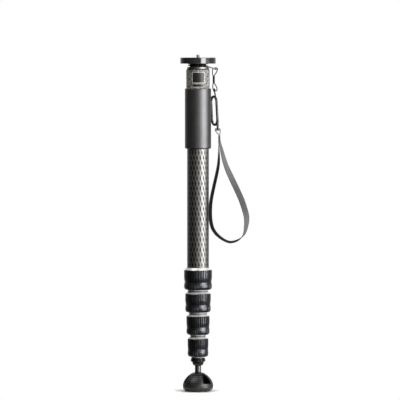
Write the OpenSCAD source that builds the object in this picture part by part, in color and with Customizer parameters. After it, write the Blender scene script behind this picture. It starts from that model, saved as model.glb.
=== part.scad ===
// Five-section camera monopod with twist locks, ball foot and wrist strap.
// Millimetres. The sole stands on z = 0 and the strap hangs on the +X side.

/* [Tubes] */
// Outside diameter of the upper tube
tube_d = 37; // [30:0.1:44]
// Wall of every carbon tube
tube_wall = 1.2; // [0.8:0.05:2]
// Bare length of the upper tube, from its lock to the hand grip
bare_h = 202.3; // [150:0.1:300]
// Thickness of the guide shells on top of each inner tube
guide_t = 0.72; // [0.5:0.01:1.5]
// Height of the guide shells
guide_h = 24; // [15:1:40]
// Angle that each of the two guide shells covers
guide_angle = 165; // [120:1:175]

/* [Twist locks] */
// Height of the rubber collar of the first lock
lock_1_h = 33.8; // [28:0.1:45]
// Height of the rubber collars of the second and third lock
lock_2_h = 31.8; // [28:0.1:45]
// Height of the rubber collar of the last lock
lock_4_h = 31; // [28:0.1:45]
// Thickness of the ferrule sleeve on each tube end
ferrule_t = 1.35; // [1:0.05:3]
// Height of the bright cone above each collar
cone_h = 3.7; // [2:0.1:8]
// How far the ferrule sleeve reaches down into the collar
sleeve_h = 15; // [10:0.5:17]
// Height of the lip that the tube end stands on
lip_h = 1; // [0.5:0.1:2]
// Thickness of the metal core of a collar
core_t = 0.8; // [0.6:0.05:3]
// Thickness of the rubber on the barrel of a collar
rubber_t = 3; // [1.8:0.1:5]
// Height of the waist above the lower edge of a collar
waist_z = 13; // [11:0.1:15]
// Depth of the waist of the first lock
waist_depth = 1.1; // [0.7:0.1:1.6]
// How much shallower the waist of each next lock is
waist_fade = 0.2; // [0:0.01:0.22]
// Number of flutes round a collar
flute_count = 32; // [20:1:40]
// Depth of the flutes in the barrel
flute_depth = 0.75; // [0.2:0.05:0.9]
// Width of a flute
flute_w = 1.9; // [1:0.1:2.4]
// Height of the nose under the rubber
nose_h = 1.5; // [1:0.1:4]
// Wall of the nose round the seal
nose_t = 0.45; // [0.4:0.05:2]
// Thickness of the dust seal
seal_t = 0.63; // [0.5:0.01:2]
// How far the dust seal stands out of the nose
seal_drop = 1.2; // [0.6:0.1:3]
// Height of the collet flange
collet_flange_h = 1.8; // [1:0.1:4]
// Wall of the collet under its flange
collet_t = 1.8; // [1.4:0.1:3]
// Wall of the collet at its lower tip
collet_tip_t = 1.1; // [0.6:0.1:1.4]
// Number of slits in the collet
slit_count = 6; // [3:1:10]
// Width of a slit
slit_w = 1.4; // [0.8:0.1:3]

/* [Head] */
// Thickness of the foam hand grip round the upper tube
grip_t = 3.75; // [1.5:0.05:4]
// Length of the hand grip
grip_h = 102; // [60:1:150]
// Rounding of the hand grip's lower edge
grip_round = 2; // [0.5:0.1:2.5]
// Wall of the head casting round the upper tube
casting_t = 1.45; // [1:0.05:6.5]
// Height of the head casting
casting_h = 32; // [20:0.5:60]
// Thickness of the casting's closed top
casting_top = 8; // [4:0.5:15]
// Diameter of the gasket on the casting
gasket_d = 37.6; // [30:0.1:40]
// Thickness of the gasket
gasket_t = 1.8; // [0.5:0.1:4]
// Diameter of the bright washer on the gasket
washer_d = 36.4; // [30:0.1:40]
// Thickness of the washer
washer_t = 2.9; // [1:0.1:6]
// Diameter of the groove that the wire bail turns in
groove_d = 27.6; // [20:0.1:32]
// Height of the groove
groove_h = 4.5; // [3.5:0.1:8]
// Diameter of the flange under the plate
flange_d = 34.2; // [28:0.1:50]
// Thickness of the flange
flange_t = 1; // [0.6:0.1:4]
// Diameter of the spigot that goes down into the casting
spigot_d = 18; // [12:0.5:22]
// How far the spigot reaches into the casting's top
spigot_h = 5; // [2:0.5:7]
// Diameter of the top plate
plate_d = 60.4; // [45:0.1:80]
// Thickness of the top plate
plate_t = 10.4; // [8:0.1:16]
// Bevel on the plate's upper edge
plate_bevel = 0.9; // [0.3:0.1:2]
// Bevel on the plate's lower edge
plate_low_bevel = 0.4; // [0.2:0.1:2]
// Diameter of the camera stud
stud_d = 6.35; // [5:0.01:9.5]
// Height of the stud above the plate
stud_h = 5; // [4:0.1:8]
// Diameter of the stud's base inside the plate
stud_base_d = 12; // [10:0.1:16]
// Height of the stud's base
stud_base_h = 6; // [4:0.1:7]
// Diameter of the stud's shoulder inside the plate
stud_collar_d = 8; // [7:0.1:10]
// Diameter of the bolt that holds the head together
bolt_d = 6; // [4:0.1:8]
// Diameter of the bolt's head
bolt_head_d = 10; // [8:0.1:14]
// Height of the bolt's head
bolt_head_h = 4; // [2:0.1:6]

/* [Foot] */
// Largest diameter of the rubber foot
foot_d = 52.2; // [40:0.1:70]
// Height of the foot's widest line above the floor
foot_waist_z = 7.5; // [5:0.1:10]
// Height of the dome above the widest line, as if it closed
foot_dome_h = 26; // [25:0.1:32]
// How pointed the dome is; half is an ellipse
foot_point = 0.65; // [0.5:0.01:0.7]
// Diameter of the flat that stands on the floor
sole_d = 34; // [16:0.1:40]
// Height of the foot's open top
foot_top_z = 30.9; // [30.5:0.1:31.4]
// Number of pockets round the foot
pocket_count = 3; // [2:1:6]
// Angle that each pocket covers
pocket_angle = 40; // [20:1:60]
// Height of the pocket floors
pocket_z = 13; // [11:0.1:16]
// Wall of rubber round the cup
hub_wall = 2.3; // [1.5:0.1:4]
// Spacing of the ridges on the foot
ridge_step = 3.3; // [2.5:0.1:3.5]
// Depth of the grooves between the ridges
ridge_depth = 1.3; // [0.4:0.1:1.4]
// Height of the ball's centre above the floor
ball_z = 21.5; // [20:0.1:23]
// How far the foot tilts each way
foot_tilt = 10; // [5:0.5:11]
// Diameter of the ball
ball_d = 13; // [11:0.1:14]
// Diameter of the neck above the ball
ball_neck_d = 7; // [5:0.1:7.4]
// Diameter of the stem
stem_d = 10.6; // [8:0.1:10.8]
// Height of the stem's shoulder under the socket
stem_top_z = 43.5; // [40:0.1:60]
// Diameter of the cup that the ball turns in
cup_d = 20; // [18:0.1:22]
// Height of the cup's floor above the sole
cup_z = 12; // [9:0.1:13]
// Diameter of the socket's flange
socket_d = 24.7; // [22:0.1:30]
// Height of the socket's flange
socket_h = 5.9; // [3:0.1:12]
// Height of the rounded part under the flange
socket_round_h = 6.5; // [4:0.1:12]
// Length of the socket's plug inside the last tube
plug_h = 22; // [12:1:40]
// Diameter of the threaded spigot on the stem
stem_spigot_d = 6; // [4:0.1:8]
// Length of the threaded spigot
stem_spigot_h = 9; // [5:0.5:15]

/* [Strap] */
// Wire of the steel bail
bail_wire = 2.6; // [2:0.1:3]
// Where the bail bends down, out from the axis
bail_bend_x = 11; // [9:0.1:13]
// How steeply the bail slopes down
bail_slope = 18.5; // [10:0.5:20]
// Where the bail's tip lies, out from the axis
bail_reach = 30.7; // [28:0.1:34]
// Radius of the bail's tip
bail_tip_r = 4; // [3:0.1:6]
// Diameter of the lanyard cord
cord_d = 1.7; // [1.4:0.1:1.8]
// Diameter of the crimped sleeve on the lanyard
crimp_d = 3.8; // [3.6:0.1:5]
// Length of the sleeve
crimp_h = 12; // [8:0.5:12.5]
// Rod of the snap hook
hook_rod = 4.2; // [2.4:0.1:4.4]
// Width of the snap hook between its rod centres
hook_w = 18; // [16:0.1:20]
// Height of the snap hook between its rod centres
hook_h = 48; // [46:0.1:48.4]
// How far the snap hook is turned from facing front
hook_turn = 60; // [50:1:70]
// How far the snap hook leans in towards the grip
hook_lean = 3; // [0:0.5:3.5]
// How far the snap hook leans back
hook_back = 4.5; // [3.5:0.5:6]
// Length of the hook's neck, from its bow to the middle of its eye
hook_neck = 15.6; // [15.4:0.1:15.8]
// Rod of the hook's neck
hook_neck_d = 2.4; // [2:0.1:2.5]
// Rod of the hook's eye
hook_eye_rod = 1.9; // [1.6:0.1:2]
// Diameter of the hook's gate
gate_d = 4.2; // [3:0.1:4.4]
// Height of the gate's pin above the hook's lower bow
gate_pin_v = 13.4; // [12.5:0.1:15]
// How far the gate swings in
gate_swing = 25; // [15:1:30]
// Diameter of the gate's pin
gate_pin_d = 1; // [0.8:0.05:1.2]
// Height of the hook's nose above its lower bow
nose_v = 37; // [34:0.1:38]
// Width of the strap webbing
strap_w = 10; // [8:0.1:10.4]
// Thickness of the strap webbing
strap_t = 1.4; // [1:0.1:1.5]
// Width of the flat bar that the strap goes round
bar_w = 6.4; // [5:0.1:6.6]
// Height of the flat bar
bar_h = 2.2; // [1.6:0.1:2.4]

/* [Clearances] */
// Glue line between bonded pieces
glue = 0.05; // [0.02:0.01:0.1]
// Gap of sliding and turning fits
slide_gap = 0.08; // [0.04:0.01:0.1]
// Gap in the twist threads
thread_gap = 0.1; // [0.05:0.01:0.2]
// Gap round the open collet
collet_gap = 0.4; // [0.2:0.05:0.6]
// Gap between one folded lock and the next
rest_gap = 0.2; // [0.1:0.05:1]
// Gap between parts that turn past each other
turn_gap = 0.3; // [0.15:0.05:0.5]
// Gap that is left above the collet at full length
stop_gap = 0.5; // [0.2:0.1:2]
// Room over the inner tubes inside the head
head_gap = 2.55; // [1:0.05:10]

/* [Hidden] */
$fn = 96;
locks = 4;
tiny = 0.01;

// Tubes: each inner tube leaves room for its guides in the tube outside it.
tube_step = tube_wall + glue + guide_t + slide_gap;
function tube_r(k) = tube_d / 2 - (k - 1) * tube_step;
function bore_r(k) = tube_r(k) - tube_wall;

// Lock heights, and the level of each collar's lower edge, counted up from the foot.
function lock_h(k) = k == 1 ? lock_1_h : k == locks ? lock_4_h : lock_2_h;
socket_top_z = stem_top_z + socket_round_h + socket_h;
lock_pitch_gap = rest_gap + seal_drop + nose_h;
function lock_z(k) = k == locks
    ? socket_top_z + lock_pitch_gap
    : lock_z(k + 1) + lock_h(k + 1) + cone_h + lock_pitch_gap;

// Ends of the tubes and stops inside the locks.
function tube_end_z(k) = lock_z(k) + lock_h(k) - sleeve_h + lip_h;
function collet_top_z(k) = lock_z(k) + lock_h(k) - sleeve_h - glue;
grip_z = lock_z(1) + lock_h(1) + cone_h + bare_h;
casting_z = grip_z + grip_h;
gasket_z = casting_z + casting_h;
tube_top_z = gasket_z - casting_top;
travel = tube_top_z - head_gap - guide_h - collet_top_z(1) - stop_gap;
function guide_z(k) = collet_top_z(k - 1) + stop_gap + travel;
function top_z(k) = k == 1 ? tube_top_z : guide_z(k) + guide_h;
function low_z(k) = k == locks + 1 ? socket_top_z : tube_end_z(k);

// Radii inside a lock: the outer tube carries the ferrule, the inner tube runs in the collet.
function ferrule_r(k) = tube_r(k) + glue + ferrule_t;
function core_in_r(k) = ferrule_r(k) + thread_gap;
function core_r(k) = core_in_r(k) + core_t;
function lock_r(k) = core_r(k) + rubber_t;
function collet_r(k) = tube_r(k + 1) + slide_gap;
function seal_in_r(k) = tube_r(k + 1) + slide_gap + glue;
function seal_r(k) = seal_in_r(k) + seal_t;
function nose_r(k) = seal_r(k) + glue + nose_t;
collet_tip_z = 5;
seal_floor = 4;
core_bevel_z = 6;
collar_shoulder = sleeve_h + glue + collet_flange_h + turn_gap;

// Rubber profile, as height above the lower edge.
band_round_r = 3.4;
band_round_z = 4.8;
band_top_z = 9.2;
barrel_low_z = 20.5;
barrel_round = 0.8;
cone_inset = 1.15;
pad_count = 3;
pad_angle = 40;
pad_turn = 25;
band_flute_share = 0.55;
flute_start = 0.5;
flute_end = 1;

// Head levels.
washer_z = gasket_z + gasket_t;
groove_z = washer_z + washer_t;
flange_z = groove_z + groove_h;
plate_z = flange_z + flange_t;
plate_top_z = plate_z + plate_t;
washer_bevel = 0.6;

// Foot.
cup_top_z = ball_z + 5.5;
stem_cone_z = cup_top_z + 0.6;
stem_shoulder_z = foot_top_z + 1.2;
function tilt_room(z, r) = (z - ball_z) * tan(foot_tilt) + r / cos(foot_tilt) + turn_gap;
mouth_low_r = tilt_room(cup_top_z, ball_neck_d / 2);
mouth_r = tilt_room(foot_top_z, stem_d / 2);
foot_lip_r = mouth_r + 1.5;
pocket_turn = -19;

// Bail: a level ring in the groove, two legs that bend down, and a round tip.
bail_r = groove_d / 2 + turn_gap + 0.2 + bail_wire / 2;
bail_z = groove_z + groove_h / 2 + 0.4;
bail_open = 65.5;
leg_start = [bail_r * cos(bail_open), bail_r * sin(bail_open), 0];
leg_bend_y = leg_start[1] - (bail_bend_x - leg_start[0]) / tan(bail_open);
slope_run = (bail_reach - bail_bend_x) / cos(bail_slope);
tip_u = slope_run - bail_tip_r;
leg_turn = asin(bail_tip_r / norm([tip_u, leg_bend_y])) - atan2(leg_bend_y, tip_u);
bend_run = 1.2;
function mirrored(p) = [p[0], -p[1], p[2]];
function on_slope(u, y) = [bail_bend_x + u * cos(bail_slope), y, -u * sin(bail_slope)];
bend_at = [bail_bend_x, leg_bend_y, 0];
bend_in = bend_at + bend_run * (leg_start - bend_at) / norm(leg_start - bend_at);
bend_out = on_slope(bend_run * cos(leg_turn), leg_bend_y + bend_run * sin(leg_turn));
ring_steps = 20;
tip_steps = 8;
tip_angle = 90 + leg_turn;
bail_route = concat(
    [for (i = [0 : ring_steps]) let (a = bail_open + (360 - 2 * bail_open) * i / ring_steps)
        bail_r * [cos(a), sin(a), 0]],
    [mirrored(bend_in), mirrored(bend_out)],
    [for (i = [0 : tip_steps]) let (a = tip_angle * (2 * i / tip_steps - 1))
        on_slope(tip_u + bail_tip_r * cos(a), bail_tip_r * sin(a))],
    [bend_out, bend_in]
);

// What hangs on the bail is measured from its tip: x from the tip, z from the bail's ring.
hang = [bail_reach, 0, bail_z];
crimp_at = [-4, 0, -30];
crimp_top = -18;
upper_route = [
    [-4.85, 0, -18], [-5.8, 0, -15], [-6.4, 0, -11], [-6, 0, -7.8], [-4.4, 0, -5.4], [-2.3, 0, -4.3],
    [0, 0, -4.2], [1.7, 0, -4.9], [2.4, 0, -6.6], [2.1, 0, -8], [1.3, 0, -10], [-0.2, 0, -13],
    [-2.2, 0, -16], [-3.15, 0, -18]
];
lower_route = [
    [-3.15, 0.1, -30], [-0.8, 0.9, -34], [1.2, 2, -38], [1.6, 2.7, -41.2], [0.4, 2.8, -43.3],
    [-1.2, 2.3, -43.2], [-3.04, 1.29, -42.1], [-4.6, 0.4, -41], [-5.5, -0.1, -38.8], [-5.6, -0.2, -34.5],
    [-4.85, -0.1, -30]
];

// Snap hook in its own plane: u runs from the spine to the gate, v runs up from the lower bow.
hook_mid = [-1.9, 0, -100];
bow_r = hook_w / 2;
gate_low = 0.5;
tang_top = 2.6;
hook_foot = hang + hook_mid + bow_r * [cos(hook_turn), -sin(hook_turn), 0];
neck_bow_angle = 30;
neck_lean = 14.8;
eye_bore_r = cord_d / 2 + 0.5;
eye_ring_r = eye_bore_r + hook_eye_rod / 2;
hook_low_v = gate_pin_v - gate_low - gate_d / 2 * sin(gate_swing) - turn_gap;
tang_t = 1.2;
nose_tang_t = 0.9;
nose_tang_h = 1.6;
swivel_boss_d = 4;
swivel_neck_d = 2;
swivel_head_d = 3.8;
swivel_head_h = 1;
swivel_plate_t = 1.6;
swivel_drop = 0.5;
swivel_v = -hook_rod / 2 - turn_gap - swivel_drop;
eye_arm = 1.6;
eye_gap = 0.5;
eye_t = 2;
bar_v = -9.4;
bar_bevel = 0.6;

// Strap route from the middle of the bar: x, z and the twist of the webbing at each point.
strap_route = [
    [2, -24, 0], [2, -16, 0], [1.9, -9, 0], [-1, -5, 0], [-3.6, -1.8, 0], [-4.2, 0.4, 0], [-3.3, 2.1, 0],
    [0, 2.3, 0], [3.3, 2.1, 0], [4.3, 0.4, 0], [4.4, -2, 0], [4, -5, 0], [3.7, -9, 0], [3.7, -16, 6],
    [4.2, -22, 14], [6, -30, 26], [9.6, -45, 40], [12.8, -56, 50], [17.7, -69, 62], [25.6, -86, 80],
    [33.6, -103, 90], [41.1, -120, 90], [46.6, -137, 84], [49.1, -148, 70], [48.9, -160, 50],
    [46.1, -174, 26], [42.1, -181, 8], [37.1, -185.5, -6], [30.1, -189, -14], [21.1, -190.5, -18],
    [12.1, -187.5, -20], [3.1, -181.5, -24], [-3.9, -174.5, -28], [-8.9, -166, -32], [-11.5, -155, -34],
    [-12.5, -141, -34], [-11.4, -122, -33], [-7.9, -103, -32], [-4.1, -86, -31], [-0.4, -69, -29],
    [1.6, -56, -24], [2.1, -44, -16], [2.1, -33, -6], [2, -24.5, 0]
];

// Shapes that repeat.

// A turned piece from its half outline.
module turned(outline) {
    rotate_extrude() polygon(outline);
}

// A plain ring.
module ring(inner, outer, z0, z1) {
    turned([[inner, z0], [outer, z0], [outer, z1], [inner, z1]]);
}

// Places hung pieces under the bail's tip.
module hung(at) {
    translate(hang + at) children();
}

// Stands the hook's plane up and turns it: u goes towards the gate, v up.
module in_hook(u, v) {
    translate(hook_foot) rotate([-hook_back, -hook_lean, 0]) rotate([0, 0, 180 - hook_turn])
        translate([u, 0, v]) children();
}

// Keeps the swivel upright under the hook's spine.
module at_swivel(v) {
    translate(hook_foot + [0, 0, v]) children();
}

// A round tube along a route, one ring of sides at each point.
function along(route, i) = let (
    a = route[max(i - 1, 0)],
    b = route[min(i + 1, len(route) - 1)]
) (b - a) / norm(b - a);
module swept(route, section, closed = false) {
    sides = len(section[0]);
    rings = len(route);
    points = [for (r = section) for (p = r) p];
    walls = [for (i = [0 : rings - (closed ? 1 : 2)]) for (j = [0 : sides - 1]) let (
        a = i * sides,
        b = (i + 1) % rings * sides,
        k = (j + 1) % sides
    ) each [[a + j, b + j, a + k], [a + k, b + j, b + k]]];
    last = (rings - 1) * sides;
    ends = closed ? [] : [for (j = [1 : sides - 2]) each [[0, j, j + 1], [last, last + j + 1, last + j]]];
    polyhedron(points, concat(walls, ends));
}
module cord(route, d, level_ends) {
    sides = 8;
    rings = [for (i = [0 : len(route) - 1]) let (
        t = level_ends && (i == 0 || i == len(route) - 1)
            ? [0, 0, sign(along(route, i)[2])]
            : along(route, i),
        n = cross(t, [0.2, 1, 0]) / norm(cross(t, [0.2, 1, 0])),
        b = cross(t, n)
    ) [for (j = [0 : sides - 1]) let (a = 360 * j / sides) route[i] + d / 2 * (cos(a) * n + sin(a) * b)]];
    swept(route, rings);
}

// Head

module camera_stud() {
    color("silver") difference() {
        union() {
            translate([0, 0, plate_z + tiny]) cylinder(d = stud_base_d, h = stud_base_h - tiny);
            translate([0, 0, plate_z + stud_base_h - tiny])
                cylinder(d = stud_collar_d, h = plate_t - stud_base_h + tiny);
            translate([0, 0, plate_top_z - tiny]) cylinder(d = stud_d, h = stud_h + tiny);
        }
        translate([0, 0, plate_z - 1]) cylinder(d = bolt_d + 2 * glue, h = stud_base_h - 1);
    }
}

module top_plate() {
    r = plate_d / 2;
    color([0.2, 0.2, 0.21]) difference() {
        turned([
            [0, plate_z], [r - plate_low_bevel, plate_z], [r, plate_z + plate_low_bevel],
            [r, plate_top_z - plate_bevel], [r - plate_bevel, plate_top_z], [0, plate_top_z]
        ]);
        translate([0, 0, plate_z - 1]) cylinder(d = stud_base_d + 2 * glue, h = stud_base_h + 1);
        translate([0, 0, plate_z]) cylinder(d = stud_collar_d + 2 * glue, h = plate_t + 1);
    }
}

module head_bolt() {
    color("dimgray") union() {
        translate([0, 0, tube_top_z - bolt_head_h]) cylinder(d = bolt_head_d, h = bolt_head_h);
        translate([0, 0, tube_top_z - tiny])
            cylinder(d = bolt_d, h = plate_z + stud_base_h - 2.5 - tube_top_z);
    }
}

module neck() {
    bore = bolt_d / 2 + glue;
    low = gasket_z - spigot_h;
    color([0.12, 0.12, 0.13]) turned([
        [bore, low], [spigot_d / 2, low], [spigot_d / 2, groove_z], [groove_d / 2, groove_z],
        [groove_d / 2, flange_z], [flange_d / 2, flange_z], [flange_d / 2, plate_z], [bore, plate_z]
    ]);
}

module neck_washer() {
    r = washer_d / 2;
    color("lightgray") turned([
        [spigot_d / 2 + glue, washer_z], [r, washer_z], [r, groove_z - washer_bevel],
        [r - washer_bevel, groove_z], [spigot_d / 2 + glue, groove_z]
    ]);
}

module head_gasket() {
    color([0.1, 0.1, 0.1]) ring(spigot_d / 2 + glue, gasket_d / 2, gasket_z, washer_z);
}

module head_casting() {
    r = tube_r(1) + casting_t;
    bevel = 0.3;
    inside = tube_r(1) + glue;
    floor_z = gasket_z - spigot_h;
    color([0.45, 0.43, 0.41]) turned([
        [inside, casting_z], [r - bevel, casting_z], [r, casting_z + bevel], [r, gasket_z - bevel],
        [r - bevel, gasket_z], [spigot_d / 2 + glue, gasket_z], [spigot_d / 2 + glue, floor_z],
        [bolt_d / 2 + glue, floor_z], [bolt_d / 2 + glue, tube_top_z], [inside, tube_top_z]
    ]);
}

module hand_grip() {
    r = tube_r(1) + grip_t;
    top_round = 0.8;
    low_round = min(grip_round, grip_t - top_round);
    color([0.17, 0.16, 0.17]) turned(concat(
        [[tube_r(1) + glue, casting_z], [tube_r(1) + glue, grip_z]],
        [for (a = [-90 : 15 : 0])
            [r - low_round * (1 - cos(a)), grip_z + low_round * (1 + sin(a))]],
        [[r, casting_z - top_round], [r - top_round, casting_z]]
    ));
}

// Tubes and their guides

module tube(k) {
    color([0.2, 0.18, 0.16]) ring(bore_r(k), tube_r(k), low_z(k), top_z(k));
}

module guides(k) {
    color([0.85, 0.85, 0.83]) for (side = [0, 180]) rotate([0, 0, side - guide_angle / 2])
        rotate_extrude(angle = guide_angle)
            translate([tube_r(k) + glue, guide_z(k)]) square([guide_t, guide_h]);
}

// Twist locks: k counts from the top, and z = 0 of each is the lower edge of its rubber collar.

module lock_ferrule(k) {
    h = lock_h(k);
    a = tube_r(k);
    cone_top = 0.4;
    cone_low = lock_r(k) - cone_inset;
    low = h - sleeve_h;
    color("silver") translate([0, 0, lock_z(k)]) turned([
        [bore_r(k), low], [ferrule_r(k), low], [ferrule_r(k), h], [cone_low, h], [a + cone_top, h + cone_h],
        [a + glue, h + cone_h], [a + glue, low + lip_h], [bore_r(k), low + lip_h]
    ]);
}

module lock_collet(k) {
    top = lock_h(k) - sleeve_h - glue;
    low = top - collet_flange_h;
    inside = collet_r(k);
    color([0.75, 0.75, 0.72]) translate([0, 0, lock_z(k)]) difference() {
        turned([
            [inside, top], [inside, collet_tip_z], [inside + collet_tip_t, collet_tip_z],
            [inside + collet_t, low], [ferrule_r(k) - thread_gap, low], [ferrule_r(k) - thread_gap, top]
        ]);
        for (i = [0 : slit_count - 1]) rotate([0, 0, 360 * i / slit_count])
            translate([0, -slit_w / 2, collet_tip_z - 1])
                cube([2 * ferrule_r(k), slit_w, low - collet_tip_z]);
    }
}

module lock_collar(k) {
    top = lock_h(k) - turn_gap;
    shoulder = lock_h(k) - collar_shoulder;
    inside = collet_r(k) + collet_gap;
    b = tube_r(k + 1);
    color("gray") translate([0, 0, lock_z(k)]) turned([
        [core_in_r(k), top], [core_in_r(k), shoulder], [inside + collet_t, shoulder],
        [inside + collet_tip_t, seal_floor], [b + turn_gap, seal_floor], [b + turn_gap, 0],
        [seal_r(k) + glue, 0], [seal_r(k) + glue, -nose_h], [nose_r(k), -nose_h], [nose_r(k), 0],
        [core_r(k), core_bevel_z], [core_r(k), top]
    ]);
}

module lock_seal(k) {
    color([0.1, 0.1, 0.1]) translate([0, 0, lock_z(k)])
        ring(seal_in_r(k), seal_r(k), -nose_h - seal_drop, -glue);
}

module lock_grip(k) {
    top = lock_h(k) - turn_gap;
    r = lock_r(k);
    waist = waist_depth - (k - 1) * waist_fade;
    edge = nose_r(k) + glue + 0.45;
    flute_r = flute_w / 2;
    spacing = 360 / flute_count;
    color([0.13, 0.13, 0.13]) translate([0, 0, lock_z(k)]) difference() {
        turned(concat(
            [[core_r(k) + glue, top], [core_r(k) + glue, core_bevel_z], [nose_r(k) + glue, 0]],
            [[edge, 0]],
            [for (a = [10 : 16 : 90]) [r - band_round_r * (1 - sin(a)), band_round_z * (1 - cos(a))]],
            [[r, band_top_z - 1.6], [r - 0.25, band_top_z]],
            [[r - waist, waist_z], [r - 0.6 * waist, waist_z + 2.8]],
            [[r - 0.2 * waist, waist_z + 5.4], [r, barrel_low_z]],
            [[r, top - barrel_round], [r - barrel_round, top]]
        ));
        for (i = [0 : flute_count - 1]) rotate([0, 0, spacing * i])
            translate([r - flute_depth + flute_r, 0, waist_z - flute_start])
                cylinder(r = flute_r, h = top, $fn = 24);
        for (i = [0 : flute_count - 1]) {
            turn = spacing * i;
            sector = 360 / pad_count;
            from_pad = abs((turn + 90 - pad_turn + 1.5 * sector) % sector - sector / 2);
            if (from_pad > pad_angle / 2) rotate([0, 0, turn])
                translate([r - flute_depth * band_flute_share + flute_r, 0, 0])
                    cylinder(r = flute_r, h = waist_z + flute_end, $fn = 24);
        }
    }
}

// Foot

module end_socket() {
    r = socket_d / 2;
    low = stem_top_z + socket_round_h;
    plug_r = bore_r(locks + 1) - glue;
    foot_r = stem_d / 2 + 1;
    color([0.2, 0.2, 0.21]) difference() {
        union() {
            turned(concat(
                [[0, stem_top_z]],
                [for (a = [0 : 15 : 75]) [foot_r + (r - 2.5 - foot_r) * sin(a),
                    low - socket_round_h * cos(a)]],
                [[r - 2.5, low + tiny], [0, low + tiny]]
            ));
            intersection() {
                translate([0, 0, low]) cylinder(r = r / cos(15), h = socket_h, $fn = 12);
                turned([
                    [0, low], [r - 0.8, low], [r + 0.2, low + 1], [r + 0.2, socket_top_z - 1],
                    [r - 0.8, socket_top_z], [0, socket_top_z]
                ]);
            }
            translate([0, 0, socket_top_z - tiny]) cylinder(r = plug_r, h = plug_h);
        }
        translate([0, 0, stem_top_z - 1]) cylinder(d = stem_spigot_d + 2 * glue, h = stem_spigot_h + 2);
    }
}

module ball_stud() {
    color("dimgray") union() {
        translate([0, 0, ball_z]) sphere(d = ball_d);
        turned([
            [0, ball_z], [ball_neck_d / 2, ball_z], [ball_neck_d / 2, stem_cone_z],
            [stem_d / 2, stem_shoulder_z], [stem_d / 2, stem_top_z], [stem_spigot_d / 2, stem_top_z],
            [stem_spigot_d / 2, stem_top_z + stem_spigot_h], [0, stem_top_z + stem_spigot_h]
        ]);
    }
}

module foot_cup() {
    color([0.25, 0.25, 0.26]) difference() {
        turned([[0, cup_z], [cup_d / 2, cup_z], [cup_d / 2, cup_top_z], [0, cup_top_z]]);
        translate([0, 0, ball_z]) sphere(r = ball_d / 2 + slide_gap);
        translate([0, 0, ball_z])
            cylinder(r1 = ball_neck_d / 2, r2 = mouth_low_r, h = cup_top_z - ball_z + tiny);
    }
}

module foot_pad() {
    r = foot_d / 2;
    sole_r = sole_d / 2;
    hub_r = cup_d / 2 + hub_wall;
    dome_end = asin((foot_top_z - foot_waist_z) / foot_dome_h);
    function dome_r(z) = r * pow(1 - pow((z - foot_waist_z) / foot_dome_h, 2), foot_point);
    color([0.12, 0.12, 0.12]) difference() {
        turned(concat(
            [[0, 0]],
            [for (a = [-90 : 15 : -15]) [sole_r + (r - sole_r) * cos(a), foot_waist_z * (1 + sin(a))]],
            [for (i = [0 : 10]) let (z = foot_waist_z + foot_dome_h * sin(dome_end * i / 10)) [dome_r(z), z]],
            [[0, foot_top_z]]
        ));
        translate([0, 0, cup_z - glue]) cylinder(d = cup_d + 2 * glue, h = cup_top_z - cup_z + 2 * glue);
        translate([0, 0, cup_top_z])
            cylinder(r1 = mouth_low_r, r2 = mouth_r, h = foot_top_z - cup_top_z + tiny);
        for (i = [0 : pocket_count - 1])
            rotate([0, 0, 360 * (i + 0.5) / pocket_count + pocket_turn - 90 - pocket_angle / 2])
                rotate_extrude(angle = pocket_angle) polygon([
                    [hub_r + 0.6, pocket_z], [r + 1, pocket_z + 0.8], [r + 1, foot_top_z + 1],
                    [foot_lip_r + 0.6, foot_top_z + 1], [foot_lip_r + 0.6, foot_top_z - 0.8],
                    [hub_r, cup_top_z]
                ]);
        for (i = [0 : 4]) let (z = pocket_z + 1.4 + ridge_step * i) turned([
            [dome_r(z) - ridge_depth, z], [dome_r(z) + 2, z - 0.8], [dome_r(z) + 2, z + 1.6]
        ]);
    }
}

// Strap

module strap_bail() {
    sides = 12;
    n = len(bail_route);
    rings = [for (i = [0 : n - 1]) let (
        step = bail_route[(i + 1) % n] - bail_route[(i + n - 1) % n],
        across = cross(step, [0, 0, 1]) / norm(cross(step, [0, 0, 1])),
        up = cross(across, step) / norm(step)
    ) [for (j = [0 : sides - 1]) bail_route[i]
        + bail_wire / 2 * (cos(360 * j / sides) * across - sin(360 * j / sides) * up)]];
    color("lightgray") translate([0, 0, bail_z]) swept(bail_route, rings, closed = true);
}

module lanyard_upper() {
    color([0.1, 0.1, 0.1]) hung([0, 0, 0]) cord(upper_route, cord_d, true);
}

module lanyard_crimp() {
    color([0.1, 0.1, 0.1]) hung(crimp_at) cylinder(d = crimp_d, h = crimp_h);
}

module lanyard_lower() {
    color([0.1, 0.1, 0.1]) hung([0, 0, 0]) cord(lower_route, cord_d, true);
}

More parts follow.
